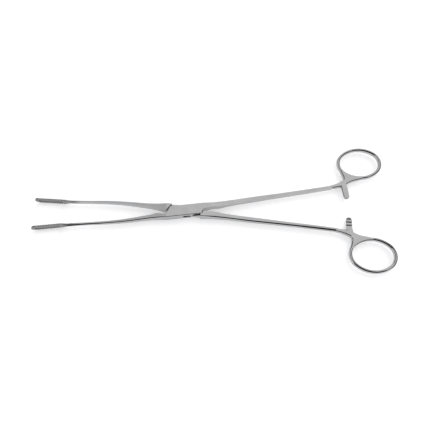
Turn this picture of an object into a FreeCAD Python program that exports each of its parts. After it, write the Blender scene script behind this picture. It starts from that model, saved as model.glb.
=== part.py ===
import FreeCAD, Part
import os
from math import acos, atan2, cos, degrees, radians, sin, tan

# Sponge forceps with a box lock, in millimetres.
# +X runs from the lock to the finger rings, +Z is up, the pivot axis is the Z axis, and the
# instrument lies on the underside of its box lock at Z = 0.
# Each half is built closed, with its jaw at +Y and its finger ring at -Y, about a middle plane at
# Z = 0. The slotted half is the mirror image of that, and both then open to the pose at rest.

# Whole instrument
tip_reach = 106.4           # pivot to the tips of the jaws
opening_at_rest = 10.6      # degrees between the halves, as they lie
opening_limit = 75.0        # degrees between the halves, fully open
jaw_gap = 0.1               # left between the tips when closed
overrun = 1.0               # how far a cut starts outside what it cuts

# Box lock
lock_width = 7.8
lock_thickness = 6.8
lock_edge_round = 0.5
front_shoulder_x = 13.0     # where the shoulder lines cross the centre line
rear_shoulder_x = 12.3
shoulder_angle = 56.0       # degrees from the centre line
front_crotch_y = -1.3
rear_crotch_y = -1.0
crotch_run = 27.0           # beyond this the two halves part at the centre line
front_parting_x = 21.7      # where the parting lines bend between the crotches and there
front_parting_y = 0.3
rear_parting_x = 17.8
rear_parting_y = 0.45
tongue_thickness = 2.4
tongue_side_inset = 0.15    # tongue's sides inside the sides of the box
eye_radius = 2.8            # metal round the pin, which the tongue's edges touch
lock_clearance = 0.12
cheek_clearance = 0.05      # above and below the tongue
tongue_lap = 1.5            # how far the tongue reaches into each shank

# Lock pin, riveted flush into both cheeks
pin_radius = 1.3
pin_running_clearance = 0.05
pin_seat_clearance = 0.02
rivet_flare = 0.35
rivet_depth = 0.4

# Jaws
jaw_length = 22.0
jaw_width = 6.3
jaw_thickness = 1.35
jaw_back_drop = 0.45        # how much thinner the crowned back is at the jaw's edges
jaw_toe_in = 0.7            # degrees
jaw_heel_width = 4.8
jaw_heel_taper = 2.1
jaw_root_rise = 0.25        # blend behind the jaw, over the jaw's back
jaw_root_inset = 0.2
jaw_root_margin = 0.3
jaw_root_swell = 0.8
jaw_root_crowns = (0.3, 0.4, 0.6)
jaw_root_lap = 0.75         # share of the heel's taper that the blend covers
jaw_root_step = 0.35        # share of the neck's run where the blend has slimmed
window_width = 2.7
window_start = 2.4          # tip to window
window_length = 16.7
serration_pitch = 1.75
serration_depth = 0.3
serration_width = 0.9
first_serration = 0.75      # tip to the first groove, in pitches

# Shanks
# Stations: share of the way along, inner side, outer side, thickness and crown, which is the
# share of the outer side that is rounded
neck_run = 5.4              # heel of the jaw to the neck
neck_width = 1.75
neck_thickness = 2.1
neck_inner_y = 0.3
shank_crown = 0.85
crown_depth = 0.8           # how far a full crown eats into the section's depth
crown_height = 0.92         # and into its height
shank_spans = 12
shank_root_depth = 1.2      # how far the shanks' roots reach past the crotches, into the box
front_stations = [
    (0.09, 0.00, 3.50, 5.8, 0.3),
    (0.19, 0.70, 3.40, 4.8, 0.4),
    (0.44, 1.65, 3.65, 3.9, 0.5),
    (0.71, 1.40, 3.10, 3.1, 0.7),
    (0.86, 0.80, 2.50, 2.5, shank_crown),
]
rear_stations = [
    (0.07, 0.35, -3.80, 5.7, 0.3),
    (0.16, -0.65, -3.95, 4.9, 0.4),
    (0.32, -1.70, -4.70, 4.2, 0.45),
    (0.55, -2.95, -5.55, 3.9, 0.55),
    (0.78, -4.10, -6.50, 3.7, 0.7),
]
shank_end_x = 104.0
shank_end_inner_y = -5.4
shank_end_width = 2.25

# Ratchets
arm_centre_x = 112.7
arm_width = 4.0
arm_tip_y = 3.8
arm_shelf_y = -5.6          # where the arm steps down to its toothed part
ratchet_gap = 0.1           # between the crests of the two ratchets
tooth_count = 3
tooth_pitch = 2.3
tooth_ramp = 0.9            # share of the pitch that slopes
tooth_depth = 0.7
first_tooth_y = -3.7
arm_edge_break = 0.3
arm_root_depth = 0.8        # how far the arm's root reaches into the web

# Finger rings
ring_near_x = 111.3         # outer edge of the bow nearest the lock
ring_top_y = -9.9           # outer edge of the bow nearest the other ring
ring_long_radius = 15.1     # to the middle of the bow
ring_short_radius = 11.3
ring_end_share = 0.82       # radius of the oval's ends, as a share of the short radius
ring_tilt = 1.6             # degrees
bow_half_width = 1.2
bow_thickness = 3.6

# Webs between shank, arm and bow
web_edge_break = 0.4
web_lap = 1.0               # how far the web starts inside the shank, and before the arm
web_shank_sink = 0.2        # web's outer corner inside the shank
web_hole_sink = 0.2         # web's hole edge inside the bow's inner edge
web_end_sink = 0.6          # ends of the web's outer edges inside the bow's outer edge
web_top_angle = 88.0        # where the web ends along the bow
web_left_angle = 155.0
arm_foot_y = -5.9           # foot of the arm on the shank's side
arm_crotch_y = -7.2         # and on the ring's side
top_bend_run = 6.5          # from the arm to where the web's top edge bends
top_bend_y = -9.45
top_bend_heading = -6.0
notch_heading = -5.0        # direction in which the notch leaves the shank
notch_bend_run = 8.2        # from the shank's end to where the notch bends
notch_bend_y = -9.9
throat_run = 9.9            # from the shank's end to the narrowest place of the web
throat_y = -13.4

# Worked out from the sizes above
lock_half_width = lock_width / 2
half_lock = lock_thickness / 2
tongue_side = lock_half_width - tongue_side_inset
jaw_face_y = jaw_gap / 2
arm_left = arm_centre_x - arm_width / 2
arm_right = arm_centre_x + arm_width / 2
neck_x = tip_reach - jaw_length - neck_run
neck = (neck_inner_y, neck_inner_y + neck_width, neck_thickness, shank_crown)
shank_end_outer_y = shank_end_inner_y - shank_end_width
zone_reach = lock_width     # far enough out to pass the sides of the box

# The bow is an oval of two end arcs and two flatter side arcs, which meet without a corner
ring_centre_x = ring_near_x + bow_half_width + ring_long_radius
ring_centre_y = ring_top_y - bow_half_width - ring_short_radius
end_radius = ring_end_share * ring_short_radius
side_radius = (
    (ring_long_radius ** 2 + ring_short_radius ** 2 - 2 * ring_long_radius * end_radius)
    / (2 * (ring_short_radius - end_radius))
)
end_offset = ring_long_radius - end_radius
side_offset = side_radius - ring_short_radius
joint_angle = degrees(atan2(side_offset, end_offset))
ROUND = 0.5523              # pole distance of a Bezier quarter round


def at(x, y, z=0.0):
    return FreeCAD.Vector(x, y, z)


def turned(x, y, angle):
    a = radians(angle)
    return at(x * cos(a) - y * sin(a), x * sin(a) + y * cos(a))


def direction(angle):
    return at(cos(radians(angle)), sin(radians(angle)))


def prism(points, low, high):
    """A flat outline of straight sides in XY, raised from low to high."""
    wire = Part.makePolygon([at(p.x, p.y, low) for p in points + points[:1]])
    return Part.Face(wire).extrude(at(0, 0, high - low))


def through(points):
    return prism(points, -lock_thickness, lock_thickness)


def fused(first, *others):
    for other in others:
        first = first.fuse(other)
    return first.removeSplitter()


def quarter_round(start, corner, end):
    curve = Part.BezierCurve()
    curve.setPoles([start, start + (corner - start) * ROUND, end + (corner - end) * ROUND, end])
    return curve.toShape()


# Shanks

def dee_wire(x, inner, outer, half, round_y, round_z):
    """D-shaped section across X: a flat inner side, and an outer side with rounded corners."""
    inner_top = at(x, inner, half)
    inner_low = at(x, inner, -half)
    top = at(x, outer - round_y, half)
    side_top = at(x, outer, half - round_z)
    side_low = at(x, outer, round_z - half)
    low = at(x, outer - round_y, -half)
    edges = [
        Part.makeLine(inner_low, inner_top),
        Part.makeLine(inner_top, top),
        quarter_round(top, at(x, outer, half), side_top),
        Part.makeLine(side_top, side_low),
        quarter_round(side_low, at(x, outer, -half), low),
        Part.makeLine(low, inner_low),
    ]
    return Part.Wire(edges)


def rounded(inner, outer, thickness, crown):
    """Measures of a section whose outer side is rounded over this share of it."""
    half = thickness / 2
    return inner, outer, half, crown * crown_depth * (outer - inner), crown * crown_height * half


def shank_section(x, inner, outer, thickness, crown):
    return dee_wire(x, *rounded(inner, outer, thickness, crown))


def shank(start_x, end_x, shares, measures):
    """Short straight spans between sections that lie on smooth curves through the stations."""
    sides = Part.BSplineCurve()
    sides.interpolate(Points=[at(*m[:3]) for m in measures], Parameters=shares)
    rounds = Part.BSplineCurve()
    rounds.interpolate(Points=[at(*m[3:]) for m in measures], Parameters=shares)
    sections = []
    for index in range(shank_spans + 1):
        share = index / shank_spans
        side = sides.value(share)
        corner = rounds.value(share)
        x = start_x + share * (end_x - start_x)
        sections.append(dee_wire(x, side.x, side.y, side.z, corner.x, corner.y))
    return Part.makeLoft(sections, True, True)


def lock_end(inner, side):
    """Measures of a shank where it meets the box, with the box's own rounded edges."""
    edge = lock_edge_round
    return inner, side * lock_half_width, half_lock, side * edge, edge


def front_shank():
    measures = [lock_end(front_crotch_y - shank_root_depth, 1)]
    measures += [rounded(*station[1:]) for station in front_stations]
    measures.append(rounded(*neck))
    shares = [0.0] + [station[0] for station in front_stations] + [1.0]
    return shank(front_crotch().x, -neck_x, shares, measures)


def rear_shank():
    end = (shank_end_inner_y, shank_end_outer_y, bow_thickness, shank_crown)
    measures = [lock_end(rear_crotch_y + shank_root_depth, -1)]
    measures += [rounded(*station[1:]) for station in rear_stations]
    measures.append(rounded(*end))
    shares = [0.0] + [station[0] for station in rear_stations] + [1.0]
    return shank(rear_crotch().x, shank_end_x, shares, measures)


# Jaws

def jaw():
    """Long narrow jaw: rounded tip, long window, crowned back and cross-serrated face."""
    half = jaw_width / 2
    heel_half = jaw_heel_width / 2
    heel_x = jaw_length
    wide_x = jaw_length - jaw_heel_taper
    corner_a = at(heel_x, 0, heel_half)
    corner_b = at(wide_x, 0, half)
    tip_top = at(half, 0, half)
    tip_low = at(half, 0, -half)
    outline = Part.Wire([
        Part.makeLine(at(heel_x, 0, -heel_half), corner_a),
        Part.makeLine(corner_a, corner_b),
        Part.makeLine(corner_b, tip_top),
        Part.Arc(tip_top, at(0, 0, 0), tip_low).toShape(),
        Part.makeLine(tip_low, at(wide_x, 0, -half)),
        Part.makeLine(at(wide_x, 0, -half), at(heel_x, 0, -heel_half)),
    ])
    plate = Part.Face(outline).extrude(at(0, jaw_thickness, 0))
    back_radius = (half ** 2 + jaw_back_drop ** 2) / (2 * jaw_back_drop)
    crown = Part.makeCylinder(
        back_radius, jaw_length + 2 * overrun, at(-overrun, jaw_thickness - back_radius, 0),
        at(1, 0, 0)
    )
    shape = plate.common(crown).cut(jaw_window()).cut(serrations())
    shape.rotate(at(0, 0, 0), at(0, 0, 1), jaw_toe_in)
    shape.translate(at(-tip_reach, jaw_face_y, 0))
    return shape


def jaw_window():
    radius = window_width / 2
    start = at(window_start + radius, -overrun, 0)
    end = at(window_start + window_length - radius, -overrun, 0)
    depth = jaw_thickness + 2 * overrun
    ends = [Part.makeCylinder(radius, depth, p, at(0, 1, 0)) for p in (start, end)]
    slot = Part.makeBox(end.x - start.x, depth, window_width, at(start.x, -overrun, -radius))
    return fused(slot, *ends)


def serrations():
    """V grooves straight across the gripping face."""
    count = int((jaw_length - serration_width) / serration_pitch)
    grooves = []
    for index in range(count):
        x = serration_pitch * (index + first_serration)
        half = serration_width / 2
        vee = Part.makePolygon([
            at(x - half, 0, -jaw_width),
            at(x + half, 0, -jaw_width),
            at(x, serration_depth, -jaw_width),
            at(x - half, 0, -jaw_width),
        ])
        groove = Part.Face(vee).extrude(at(0, 0, 2 * jaw_width))
        grooves.append(groove)
    return Part.makeCompound(grooves)


def jaw_root():
    """Blend from the heel of the jaw down to the slim neck of the shank."""
    heel_x = jaw_length - tip_reach
    inset = jaw_root_inset
    lap = heel_x - jaw_heel_taper * jaw_root_lap
    step = heel_x + neck_run * jaw_root_step
    back = jaw_thickness + jaw_root_rise
    tall = jaw_width - 2 * jaw_root_margin
    low = neck_thickness + jaw_root_swell
    sections = [
        shank_section(lap, jaw_face_y + inset, back - inset / 2, tall, jaw_root_crowns[0]),
        shank_section(heel_x, neck_inner_y, back, jaw_heel_width - inset, jaw_root_crowns[1]),
        shank_section(step, neck_inner_y, back + inset, low, jaw_root_crowns[2]),
        shank_section(-neck_x, *neck),
    ]
    return Part.makeLoft(sections, True, False)


# Finger ring, ratchet arm and the web that joins them to the shank

def bow_arc(angle):
    """Centre and radius, before the tilt, of the arc of the bow that faces this way."""
    if joint_angle < angle < 180 - joint_angle:
        return at(0, -side_offset), side_radius
    return at(-end_offset, 0), end_radius


def placed(point, z=0.0):
    """A point of the untilted bow about its own centre, in its place in the closed half."""
    p = turned(point.x, point.y, ring_tilt)
    return at(ring_centre_x + p.x, ring_centre_y + p.y, z)


def bow_point(angle, out, z):
    """A point on the bow's arcs, this far outside their middle line."""
    centre, radius = bow_arc(angle)
    return placed(centre + direction(angle) * (radius + out), z)


def ring():
    """Oval bow of oval section, turned about the centre of each of its four arcs."""
    side_sweep = 180 - 2 * joint_angle
    arcs = [
        (at(end_offset, 0), end_radius, -joint_angle, 2 * joint_angle),
        (at(0, -side_offset), side_radius, joint_angle, side_sweep),
        (at(-end_offset, 0), end_radius, 180 - joint_angle, 2 * joint_angle),
        (at(0, side_offset), side_radius, 180 + joint_angle, side_sweep),
    ]
    spans = []
    for centre, radius, start, sweep in arcs:
        out = direction(start)
        middle = centre + out * radius
        oval = Part.Ellipse(
            middle + at(0, 0, bow_thickness / 2), middle + out * bow_half_width, middle
        )
        face = Part.Face(Part.Wire(oval.toShape()))
        spans.append(face.revolve(centre, at(0, 0, 1), sweep))
    bow = spans[0].fuse(spans[1]).fuse(spans[2]).fuse(spans[3])
    bow.rotate(at(0, 0), at(0, 0, 1), ring_tilt)
    bow.translate(at(ring_centre_x, ring_centre_y))
    return bow


def web():
    """Flat web between shank, ratchet arm and bow, with its free edges broken."""
    low = -bow_thickness / 2
    half_way = (web_top_angle + 180 - joint_angle) / 2
    corner = 180 - joint_angle
    end_way = (corner + web_left_angle) / 2
    hole = [
        bow_point(angle, web_hole_sink - bow_half_width, low)
        for angle in (web_top_angle, half_way, corner, end_way, web_left_angle)
    ]
    bow_top = bow_point(web_top_angle, bow_half_width - web_end_sink, low)
    bow_left = bow_point(web_left_angle, bow_half_width - web_end_sink, low)
    shank_outer = at(shank_end_x - web_lap, shank_end_outer_y + web_shank_sink, low)
    shank_inner = at(shank_end_x - web_lap, shank_end_inner_y, low)
    foot = at(arm_left - web_lap, arm_foot_y, low)
    crotch = at(arm_right, arm_crotch_y, low)
    top_bend = at(arm_right + top_bend_run, top_bend_y, low)
    notch_bend = at(shank_end_x + notch_bend_run, notch_bend_y, low)
    throat = at(shank_end_x + throat_run, throat_y, low)
    notch_a, heading = tangent_arc(shank_outer, notch_heading, notch_bend)
    notch_b, heading = tangent_arc(notch_bend, heading, throat)
    notch_c, heading = tangent_arc(throat, heading, bow_left)
    top_a, heading = tangent_arc(top_bend, top_bend_heading + 180, crotch)
    top_b, heading = tangent_arc(top_bend, top_bend_heading, bow_top)
    free = [
        Part.makeLine(shank_inner, foot), top_a, top_b, notch_a, notch_b, notch_c,
        Part.Arc(*hole[:3]).toShape(), Part.Arc(*hole[2:]).toShape(),
    ]
    buried = [
        Part.makeLine(shank_outer, shank_inner), Part.makeLine(foot, crotch),
        Part.makeLine(bow_top, hole[0]), Part.makeLine(hole[4], bow_left),
    ]
    outline = Part.Wire(Part.__sortEdges__(free + buried))
    plate = Part.Face(outline).extrude(at(0, 0, bow_thickness))
    rims = [e for e in plate.Edges if follows(e, free)]
    return plate.makeChamfer(web_edge_break, rims)


def tangent_arc(start, heading, end):
    """Arc that leaves start along a heading and runs to end, with its heading there."""
    chord = end - start
    bearing = degrees(atan2(chord.y, chord.x))
    turn = radians(bearing - heading)
    bulge = chord.Length / 2 * tan(turn / 2)
    side = at(chord.y, -chord.x) * (bulge / chord.Length)
    middle = (start + end) * 0.5 + side
    return Part.Arc(start, middle, end).toShape(), 2 * bearing - heading


def follows(edge, outline):
    """Whether an edge of a plate runs along one of these edges of its outline, at any height."""
    here = edge.CenterOfMass
    middles = [other.CenterOfMass for other in outline]
    return any(abs(here.x - m.x) < 0.001 and abs(here.y - m.y) < 0.001 for m in middles)


def ratchet_arm():
    """Arm that crosses under the other half's arm, with saw teeth on top."""
    half = bow_thickness / 2
    radius = arm_width / 2
    root_y = arm_crotch_y - arm_root_depth
    shoulder_y = arm_tip_y - radius
    outline = Part.Wire([
        Part.makeLine(at(arm_left, root_y, -half), at(arm_left, shoulder_y, -half)),
        Part.Arc(
            at(arm_left, shoulder_y, -half), at(arm_centre_x, arm_tip_y, -half),
            at(arm_right, shoulder_y, -half)
        ).toShape(),
        Part.makeLine(at(arm_right, shoulder_y, -half), at(arm_right, root_y, -half)),
        Part.makeLine(at(arm_right, root_y, -half), at(arm_left, root_y, -half)),
    ])
    arm = Part.Face(outline).extrude(at(0, 0, bow_thickness))
    rims = [
        e for e in arm.Edges
        if abs(e.Vertexes[0].Z - e.Vertexes[-1].Z) < 0.01 and e.CenterOfMass.y > root_y + arm_edge_break
    ]
    return arm.makeChamfer(arm_edge_break, rims).cut(above_teeth())


def above_teeth():
    """Everything over the saw-tooth line, whose steep faces catch on the arm's root side."""
    crest = -ratchet_gap / 2
    root = crest - tooth_depth
    past_tip = arm_tip_y + overrun
    x = arm_left - overrun
    line = [at(x, arm_shelf_y, bow_thickness), at(x, arm_shelf_y, crest)]
    for index in range(tooth_count):
        y = first_tooth_y + index * tooth_pitch
        catch_y = y + tooth_pitch * tooth_ramp
        line.append(at(x, y, crest))
        line.append(at(x, catch_y, root))
        line.append(at(x, catch_y, crest))
    line.append(at(x, past_tip, crest))
    line.append(at(x, past_tip, bow_thickness))
    line.append(line[0])
    return Part.Face(Part.makePolygon(line)).extrude(at(arm_width + 2 * overrun, 0, 0))


# Box lock, in plan. Each half's edges run from its crotch, tangent to the eye round the pin.

def shoulder_point(shoulder_x, y):
    return at(shoulder_x + y / tan(radians(shoulder_angle)), y)


def front_crotch():
    return shoulder_point(-front_shoulder_x, front_crotch_y)


def rear_crotch():
    return shoulder_point(rear_shoulder_x, rear_crotch_y)


def front_parting():
    return at(-front_parting_x, front_parting_y)


def rear_parting():
    return at(rear_parting_x, rear_parting_y)


def edge_normal(crotch):
    """Angle of the outward normal of the edge from a crotch, tangent to the eye."""
    reach = crotch.Length
    bearing = degrees(atan2(crotch.y, crotch.x))
    return bearing + degrees(acos(eye_radius / reach))


def point_on_edge(normal, y):
    """Where the edge with this outward normal crosses a height in plan."""
    n = direction(normal)
    return at((eye_radius - n.y * y) / n.x, y)


def male_zones(grow):
    """Plan of the two places that the tongued half's shanks take beside the box."""
    far = zone_reach
    front = front_crotch()
    rear = rear_crotch()
    along = direction(shoulder_angle)
    across = at(along.y, -along.x)
    shift = across * grow
    front_line = [
        at(-crotch_run, -grow), front_parting() - at(0, grow), front + at(grow, -grow),
        shoulder_point(-front_shoulder_x, far) + shift, at(-crotch_run, far),
    ]
    rear_line = [
        at(crotch_run, grow), rear_parting() + at(0, grow), rear + at(-grow, grow),
        shoulder_point(rear_shoulder_x, -far) - shift, at(crotch_run, -far),
    ]
    return through(front_line).fuse(through(rear_line))


def box_zone():
    """Plan of everything that the slotted half keeps in the lock."""
    far = zone_reach
    return through([
        at(-crotch_run, 0), front_parting(), front_crotch(),
        shoulder_point(-front_shoulder_x, far), at(crotch_run, far), at(crotch_run, 0),
        rear_parting(), rear_crotch(), shoulder_point(rear_shoulder_x, -far),
        at(-crotch_run, -far),
    ])


def lock_block():
    """The full block of the lock, with rounded long edges."""
    x = front_crotch().x
    edge = lock_edge_round
    half = lock_half_width
    tall = half_lock
    wire = Part.Wire([
        Part.makeLine(at(x, half - edge, tall), at(x, edge - half, tall)),
        quarter_round(at(x, edge - half, tall), at(x, -half, tall), at(x, -half, tall - edge)),
        Part.makeLine(at(x, -half, tall - edge), at(x, -half, edge - tall)),
        quarter_round(at(x, -half, edge - tall), at(x, -half, -tall), at(x, edge - half, -tall)),
        Part.makeLine(at(x, edge - half, -tall), at(x, half - edge, -tall)),
        quarter_round(at(x, half - edge, -tall), at(x, half, -tall), at(x, half, edge - tall)),
        Part.makeLine(at(x, half, edge - tall), at(x, half, tall - edge)),
        quarter_round(at(x, half, tall - edge), at(x, half, tall), at(x, half - edge, tall)),
    ])
    return Part.Face(wire).extrude(at(rear_crotch().x - x, 0, 0))


def tongue():
    """Thin middle of the tongued half, which passes through the slot."""
    front = front_crotch()
    rear = rear_crotch()
    front_normal = edge_normal(front)
    rear_normal = edge_normal(rear)
    front_shoulder = shoulder_point(-front_shoulder_x, tongue_side)
    rear_shoulder = shoulder_point(rear_shoulder_x, -tongue_side)
    outline = [
        at(front.x - tongue_lap, front.y + tongue_lap / 4), front,
        point_on_edge(front_normal, -tongue_side),
        at(rear_shoulder.x + tongue_lap, -tongue_side),
        at(rear.x + tongue_lap, rear.y - tongue_lap / 4), rear,
        point_on_edge(rear_normal, tongue_side),
        at(front_shoulder.x - tongue_lap, tongue_side),
    ]
    return prism(outline, -tongue_thickness / 2, tongue_thickness / 2)


def slot_root(crotch):
    """Solid end of the slot, between the tongue's edge when closed and when fully open."""
    first = edge_normal(crotch)
    last = first - opening_limit
    middle = (first + last) / 2
    spread = radians(opening_limit / 2)
    apex = direction(middle) * ((eye_radius + lock_clearance) / cos(spread))
    reach = 2 * crotch_run
    along_first = direction(first - 90) * reach
    along_last = direction(last + 90) * reach
    corner = apex + along_first + along_last
    return through([apex, apex + along_first, corner, apex + along_last])


def slot():
    """Slot through the box: all that the tongue sweeps from closed to fully open."""
    tall = tongue_thickness / 2 + cheek_clearance
    front = front_crotch().x - 2 * overrun
    length = rear_crotch().x + 2 * overrun - front
    slab = Part.makeBox(length, 2 * lock_width, 2 * tall, at(front, -lock_width, -tall))
    return slab.cut(slot_root(front_crotch())).cut(slot_root(rear_crotch()))


def pin_hole(clearance):
    return Part.makeCylinder(
        pin_radius + clearance, 2 * lock_thickness, at(0, 0, -lock_thickness)
    )


def rivet_flares(clearance):
    """The two countersinks that the ends of the pin fill."""
    narrow = pin_radius + clearance
    wide = narrow + rivet_flare
    top = Part.makeCone(narrow, wide, rivet_depth, at(0, 0, half_lock - rivet_depth))
    low = Part.makeCone(wide, narrow, rivet_depth, at(0, 0, -half_lock))
    return top, low


# Whole pieces

def half_blank():
    """One forged half before its lock is cut, with its jaw at +Y and its teeth on top."""
    body = fused(
        front_shank(), jaw_root(), jaw(), lock_block(), rear_shank(), web(), ratchet_arm()
    )
    return body.fuse(ring())


def tongued_half():
    half = half_blank().cut(box_zone()).fuse(tongue())
    return half.cut(pin_hole(pin_running_clearance))


def slotted_half():
    half = half_blank().mirror(at(0, 0, 0), at(0, 1, 0)).mirror(at(0, 0, 0), at(0, 0, 1))
    half = half.cut(male_zones(lock_clearance)).cut(slot())
    half = half.cut(pin_hole(pin_seat_clearance))
    for flare in rivet_flares(pin_seat_clearance):
        half = half.cut(flare)
    return half


def lock_pin():
    shaft = Part.makeCylinder(pin_radius, lock_thickness, at(0, 0, -half_lock))
    return fused(shaft, *rivet_flares(0.0))


def opened(shape, angle):
    shape.rotate(at(0, 0, 0), at(0, 0, 1), angle)
    shape.translate(at(0, 0, half_lock))
    return shape


def write(name, shape):
    solids = shape.Solids
    print(name, len(solids), "solid", round(shape.Volume, 2), "mm3", shape.isValid())
    single = solids[0] if len(solids) == 1 else Part.makeCompound(solids)
    single.exportStep(os.path.join("parts", name + ".step"))


os.makedirs("parts", exist_ok=True)
write("tongued_half", opened(tongued_half(), -opening_at_rest / 2))
write("slotted_half", opened(slotted_half(), opening_at_rest / 2))
write("lock_pin", opened(lock_pin(), opening_at_rest / 2))
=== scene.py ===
import bpy, bmesh, math
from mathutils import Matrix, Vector

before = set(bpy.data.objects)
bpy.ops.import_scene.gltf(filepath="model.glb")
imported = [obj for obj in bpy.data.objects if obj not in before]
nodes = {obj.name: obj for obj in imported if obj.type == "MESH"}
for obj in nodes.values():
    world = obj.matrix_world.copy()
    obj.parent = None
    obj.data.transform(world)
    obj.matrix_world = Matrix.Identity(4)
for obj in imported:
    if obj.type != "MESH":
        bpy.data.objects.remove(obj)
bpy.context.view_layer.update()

print("frame loaded:", sorted(nodes))


# Shader maths as plain expressions
class Wire:
    def __init__(self, shader, socket):
        self.shader = shader
        self.socket = socket

    def math(self, operation, other):
        return self.shader.add("ShaderNodeMath", {"operation": operation}, {0: self, 1: other})

    def __add__(self, other): return self.math("ADD", other)
    def __radd__(self, other): return self.math("ADD", other)
    def __mul__(self, other): return self.math("MULTIPLY", other)
    def __rmul__(self, other): return self.math("MULTIPLY", other)
    def __sub__(self, other): return self.math("SUBTRACT", other)
    def __rsub__(self, other): return (self * -1.0) + other


# The nodes of one material, or of the world
class Shader:
    def __init__(self, owner):
        owner.use_nodes = True
        self.tree = owner.node_tree
        self.tree.nodes.clear()

    def add(self, kind, settings=None, inputs=None, output=0):
        node = self.tree.nodes.new(kind)
        for key, value in (settings or {}).items():
            if key == "stops":
                ramp = node.color_ramp
                while len(ramp.elements) < len(value):
                    ramp.elements.new(0.5)
                for element, (place, colour) in zip(ramp.elements, value):
                    element.position = place
                    element.color = colour
            else:
                setattr(node, key, value)
        for key, value in (inputs or {}).items():
            socket = node.inputs[key]
            if isinstance(value, Wire):
                self.tree.links.new(value.socket, socket)
            else:
                socket.default_value = value
        return Wire(self, node.outputs[output])

    def onObject(self):
        return self.add("ShaderNodeTexCoord", output="Object")

    def noise(self, settings):
        place = self.add("ShaderNodeMapping", {}, {
            "Vector": self.onObject(), "Rotation": (0, 0, settings["turn"]),
            "Scale": (settings["stretch"], 1, 1)})
        return self.add("ShaderNodeTexNoise", {}, {
            "Vector": place, "Scale": settings["scale"],
            "Detail": settings["detail"], "Roughness": settings["rough"]})

    # Camera, glossy and transmission rays see the background white
    def seenAsBackground(self):
        camera, glossy, through = [
            self.add("ShaderNodeLightPath", output=f"Is {ray} Ray")
            for ray in ("Camera", "Glossy", "Transmission")]
        return camera.math("MAXIMUM", glossy).math("MAXIMUM", through)

    def finish(self, wire, kind="ShaderNodeOutputMaterial"):
        out = self.tree.nodes.new(kind)
        self.tree.links.new(wire.socket, out.inputs["Surface"])


white = (1, 1, 1, 1)
coolTint = 1.01  # how much bluer than neutral the greys are


def grey(value):
    return (value, value, value * coolTint, 1.0)


# Satin-polished stainless steel: a faint grain, soft cloudiness and fine scratches
satinSteel = {
    "bright": 0.50, "dark": 0.40, "shadeRange": (0.3, 0.7),
    "roughness": 0.10, "roughnessSpread": 0.04,
    "grain": {"stretch": 0.05, "turn": 0.0, "scale": 2600.0, "detail": 3.0, "rough": 0.6},
    "clouds": {"stretch": 1.0, "turn": 0.0, "scale": 90.0, "detail": 4.0, "rough": 0.55},
    "scratches": {"stretch": 0.2, "turn": 0.5, "scale": 420.0, "detail": 5.0, "rough": 0.7},
    "shadeShares": {"clouds": 0.6, "scratches": 0.25, "grain": 0.15},
    "heightShares": {"grain": 0.7, "scratches": 0.3},
    "bumpStrength": 0.25, "bumpDepth": 0.00001,
    # The jaws' base colour is darkened as painted shade, standing in for the shade and dark
    # reflections of their rounded edges; their roughness is raised as well
    "jawStart": -0.072, "jawBlend": 0.008, "jawPaintedShade": 0.52, "jawRoughness": 0.10,
}
pinSteel = dict(satinSteel, roughness=0.24)
halfOpening = math.radians(5.3)  # the grain follows each half as it lies


# How much painted shade (a darker base colour standing in for the shade and dark reflections of the
# jaws' rounded edges) and duller roughness a place on the jaws has
def jawPaintedShadeAndDullMask(shader, settings):
    start = settings["jawStart"]
    along = shader.add("ShaderNodeSeparateXYZ", {}, {0: shader.onObject()})
    return shader.add("ShaderNodeMapRange", {"interpolation_type": "SMOOTHSTEP"}, {
        "Value": along, "From Min": start, "From Max": start - settings["jawBlend"],
        "To Min": 0.0, "To Max": 1.0})


def mixed(patterns, shares):
    total = None
    for name, share in shares.items():
        part = patterns[name] * share
        total = part if total is None else total + part
    return total


def makeSteel(name, settings, turn):
    steel = bpy.data.materials.new(name)
    s = Shader(steel)
    patterns = {"clouds": s.noise(settings["clouds"])}
    for kind in ("grain", "scratches"):
        pattern = settings[kind]
        patterns[kind] = s.noise(dict(pattern, turn=pattern["turn"] + turn))
    shade = mixed(patterns, settings["shadeShares"])
    paintedShadeAndDull = jawPaintedShadeAndDullMask(s, settings)
    low, high = settings["shadeRange"]
    colour = s.add("ShaderNodeValToRGB", {
        "stops": [(low, grey(settings["dark"])), (high, grey(settings["bright"]))]}, {"Fac": shade})
    # Painted shade: the jaws' base colour is scaled darker, standing in for the shade and dark
    # reflections of their rounded edges
    colour = s.add("ShaderNodeVectorMath", {"operation": "SCALE"}, {
        0: colour, "Scale": 1.0 - paintedShadeAndDull * settings["jawPaintedShade"]})
    roughness = (shade - 0.5) * (2 * settings["roughnessSpread"])
    roughness = roughness + paintedShadeAndDull * settings["jawRoughness"] + settings["roughness"]
    bump = s.add("ShaderNodeBump", {}, {
        "Strength": settings["bumpStrength"], "Distance": settings["bumpDepth"],
        "Height": mixed(patterns, settings["heightShares"])})
    s.finish(s.add("ShaderNodeBsdfPrincipled", {}, {
        "Base Color": colour, "Metallic": 1.0, "Roughness": roughness, "Normal": bump}))
    return steel


def dress(name, material):
    slots = nodes[name].data.materials
    if not slots:
        slots.append(material)
    for index in range(len(slots)):
        slots[index] = material


dress("tongued_half", makeSteel("satinSteelTongued", satinSteel, -halfOpening))
dress("slotted_half", makeSteel("satinSteelSlotted", satinSteel, halfOpening))
dress("lock_pin", makeSteel("satinSteelPin", pinSteel, halfOpening))
print("steel dressed")

# White floor, just under the forceps
whiteGround = {"size": 3.0, "height": -0.0001, "paper": 0.80, "glow": 0.40}


def makeSheet(name, size, material):
    shape = bmesh.new()
    bmesh.ops.create_grid(shape, x_segments=1, y_segments=1, size=size / 2)
    mesh = bpy.data.meshes.new(name)
    shape.to_mesh(mesh)
    shape.free()
    mesh.materials.append(material)
    piece = bpy.data.objects.new(name, mesh)
    bpy.context.scene.collection.objects.link(piece)
    return piece


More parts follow.
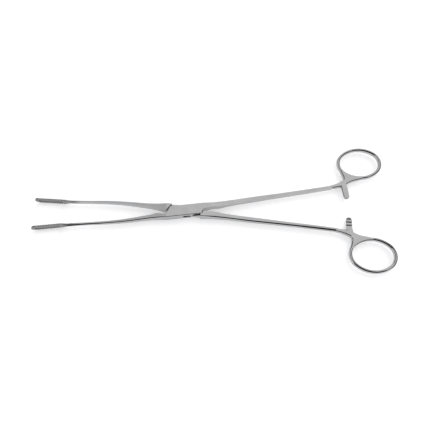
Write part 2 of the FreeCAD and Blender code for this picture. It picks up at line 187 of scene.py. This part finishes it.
def makeFloor(settings):
    paper = bpy.data.materials.new("paleFloor")
    s = Shader(paper)
    matt = s.add("ShaderNodeBsdfDiffuse", {}, {"Color": grey(settings["paper"])})
    glow = s.add("ShaderNodeEmission", {}, {
        "Color": white, "Strength": s.seenAsBackground() * settings["glow"]})
    s.finish(s.add("ShaderNodeAddShader", {}, {0: matt, 1: glow}))
    floor = makeSheet("floor", settings["size"], paper)
    floor.location.z = settings["height"]


makeFloor(whiteGround)
print("floor laid")

# Black and grey flags that the polished sides reflect, and that no camera sees
flags = {
    "frontFlag": {
        "place": (0.02, -0.60, 0.32), "turn": (90, 0, 0), "size": (1.30, 0.62), "tone": 0.02},
    "upperFlag": {
        "place": (0.02, -0.36, 0.88), "turn": (45, 0, 0), "size": (1.50, 0.72), "tone": 0.02},
    "veilFlag": {
        "place": (0.02, -0.02, 1.15), "turn": (0, 0, 0), "size": (1.50, 0.17), "tone": 0.55},
    "cornerFlag": {
        "place": (0.60, -0.30, 0.20), "turn": (90, 0, 60), "size": (0.50, 0.38), "tone": 0.02},
    "sideFlag": {
        "place": (0.66, 0.10, 0.36), "turn": (90, 0, 90), "size": (0.70, 0.70), "tone": 0.02},
    "backFlag": {
        "place": (0.62, 0.48, 0.15), "turn": (90, 0, 128), "size": (0.55, 0.28), "tone": 0.05},
    "tipFlag": {
        "place": (-0.80, 0.20, 0.60), "turn": (0, -53, 0), "size": (0.60, 0.80), "tone": 0.10},
    "rearFlag": {
        "place": (-0.45, 0.62, 0.19), "turn": (90, 0, 25), "size": (0.50, 0.36), "tone": 0.02},
    "shankFlag": {
        "place": (-0.32, 0.30, 0.90), "turn": (0, 0, 0), "size": (0.17, 0.60), "tone": 0.78},
}


def makeFlag(name, settings):
    cloth = bpy.data.materials.new(name)
    s = Shader(cloth)
    s.finish(s.add("ShaderNodeEmission", {}, {"Color": grey(settings["tone"]), "Strength": 1.0}))
    flag = makeSheet(name, 1.0, cloth)
    width, depth = settings["size"]
    flag.location = settings["place"]
    flag.rotation_euler = [math.radians(angle) for angle in settings["turn"]]
    flag.scale = (width, depth, 1.0)
    flag.visible_camera = False
    flag.visible_diffuse = False
    flag.visible_shadow = False


for flagName, flagSettings in flags.items():
    makeFlag(flagName, flagSettings)
print("flags set")

# Soft studio light from behind on the right, and the room's even light
softBox = {"place": (0.60, 0.70, 0.85), "aim": (0.02, 0, 0), "size": 1.2, "power": 6.0}
room = {"strength": 0.76}


def makeLamp(name, settings):
    light = bpy.data.lights.new(name, "AREA")
    light.shape = "SQUARE"
    light.size = settings["size"]
    light.energy = settings["power"]
    lamp = bpy.data.objects.new(name, light)
    bpy.context.scene.collection.objects.link(lamp)
    away = Vector(settings["place"]) - Vector(settings["aim"])
    lamp.location = settings["place"]
    lamp.rotation_euler = away.to_track_quat("Z", "Y").to_euler()
    lamp.visible_glossy = False


def makeRoom(settings):
    world = bpy.data.worlds.new("studio")
    bpy.context.scene.world = world
    s = Shader(world)
    even = s.add("ShaderNodeBackground", {}, {
        "Color": grey(1.0), "Strength": settings["strength"]})
    pale = s.add("ShaderNodeBackground", {}, {"Color": white})
    s.finish(s.add("ShaderNodeMixShader", {}, {0: s.seenAsBackground(), 1: even, 2: pale}),
             "ShaderNodeOutputWorld")


makeLamp("softBox", softBox)
makeRoom(room)
print("light set")

# Camera as in the photograph
photoView = {
    "target": (0.0199, -0.0032, 0.0034), "azimuth": -1.12, "elevation": 70.0,
    "distance": 0.2806, "lens": 33.9, "sensor": 36.0, "nearest": 0.01,
}


def makeCamera(settings):
    camera = bpy.data.cameras.new("photoCamera")
    camera.lens = settings["lens"]
    camera.sensor_width = settings["sensor"]
    camera.clip_start = settings["nearest"]
    eye = bpy.data.objects.new("photoCamera", camera)
    bpy.context.scene.collection.objects.link(eye)
    azimuth = math.radians(settings["azimuth"])
    elevation = math.radians(settings["elevation"])
    flat = math.cos(elevation)
    away = Vector((math.sin(azimuth) * flat, -math.cos(azimuth) * flat, math.sin(elevation)))
    eye.location = Vector(settings["target"]) + away * settings["distance"]
    eye.rotation_euler = away.to_track_quat("Z", "Y").to_euler()
    bpy.context.scene.camera = eye


makeCamera(photoView)
bpy.context.scene.view_settings.view_transform = "Standard"
print("camera set")
